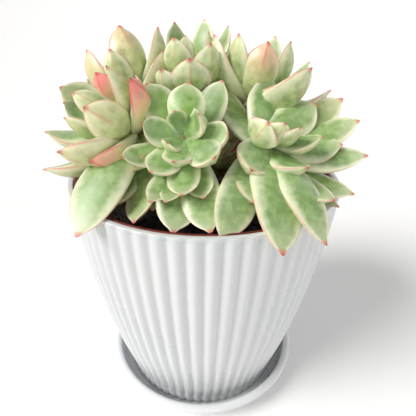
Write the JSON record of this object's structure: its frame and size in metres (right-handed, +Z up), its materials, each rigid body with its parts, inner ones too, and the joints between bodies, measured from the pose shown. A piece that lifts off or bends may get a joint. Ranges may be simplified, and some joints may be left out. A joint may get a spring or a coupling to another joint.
{
  "type": "potted succulent",
  "caption": "Clump of thick-leaved succulent rosettes growing over the rim of a tapered, fluted white pot that stands on a round saucer.",
  "frame": {"origin": "centre of the saucer's flat underside, on the axis of the pot and saucer", "axes": "+Z up along the pot's axis; -Y is the front, where the lowest leaves hang over the rim; +X is to the right seen from the front"},
  "size_m": [0.15, 0.1505, 0.2161],
  "materials": {
    "white_glaze": "satin to glossy white outside of the pot, with soft highlights along the flutes",
    "white_saucer": "glossy white with a rolled lip",
    "terracotta_liner": "red-brown inner layer, seen as a thin line at the rim",
    "dark_soil": "nearly black, crumbly potting mix",
    "woody_stem": "dull brown, hidden under the leaves",
    "young_leaf": "fresh green under a thin waxy bloom",
    "sage_leaf": "waxy grey-green with cream margins and pink edge lines",
    "blush_leaf": "waxy cream-green, flushed yellow and pink on the undersides"
  },
  "bodies": {
    "root": {"back_left_heart": "young_leaf", "back_left_leaf_out": "blush_leaf", "back_left_leaf_pink_left": "blush_leaf", "back_left_leaf_pink_right": "blush_leaf", "back_left_leaf_tall": "blush_leaf", "back_left_leaf_tall_right": "blush_leaf", "back_mid_heart": "young_leaf", "back_mid_leaf_front": "sage_leaf", "back_mid_leaf_front_left": "sage_leaf", "back_mid_leaf_front_right": "sage_leaf", "back_mid_leaf_left": "sage_leaf", "back_right_heart": "young_leaf", "back_right_leaf_big": "sage_leaf", "back_right_leaf_low": "sage_leaf", "back_right_leaf_pink": "sage_leaf", "back_right_leaf_right": "sage_leaf", "back_right_leaf_up": "sage_leaf", "front_heart": "young_leaf", "front_leaf_crown": "sage_leaf", "front_leaf_down_left": "sage_leaf", "front_leaf_down_right": "sage_leaf", "front_leaf_far_left": "sage_leaf", "front_leaf_side": "sage_leaf", "front_leaf_under_mid": "sage_leaf", "front_leaf_under_right": "sage_leaf", "front_leaf_up_left": "sage_leaf", "left_heart": "young_leaf", "left_leaf_curled": "blush_leaf", "left_leaf_down": "blush_leaf", "left_leaf_far": "blush_leaf", "left_leaf_low_near": "blush_leaf", "left_leaf_low_out": "blush_leaf", "left_leaf_near": "blush_leaf", "left_leaf_near_pink": "blush_leaf", "left_leaf_over_rim": "blush_leaf", "left_leaf_up": "blush_leaf", "liner": "terracotta_liner", "pot": "white_glaze", "rear_left_heart": "young_leaf", "rear_right_heart": "young_leaf", "right_heart": "young_leaf", "right_leaf_far_back": "sage_leaf", "right_leaf_far_low": "sage_leaf", "right_leaf_far_out": "sage_leaf", "right_leaf_far_up": "sage_leaf", "right_leaf_hanging": "sage_leaf", "right_leaf_hanging_left": "sage_leaf", "right_leaf_hanging_out": "sage_leaf", "right_leaf_low": "sage_leaf", "right_leaf_low_left": "sage_leaf", "right_leaf_low_out": "sage_leaf", "right_leaf_near": "sage_leaf", "right_leaf_out": "sage_leaf", "right_leaf_up_left": "sage_leaf", "right_leaf_up_mid": "sage_leaf", "right_leaf_up_right": "sage_leaf", "saucer": "white_saucer", "soil": "dark_soil", "stems": "woody_stem"}
  },
  "joints": []
}
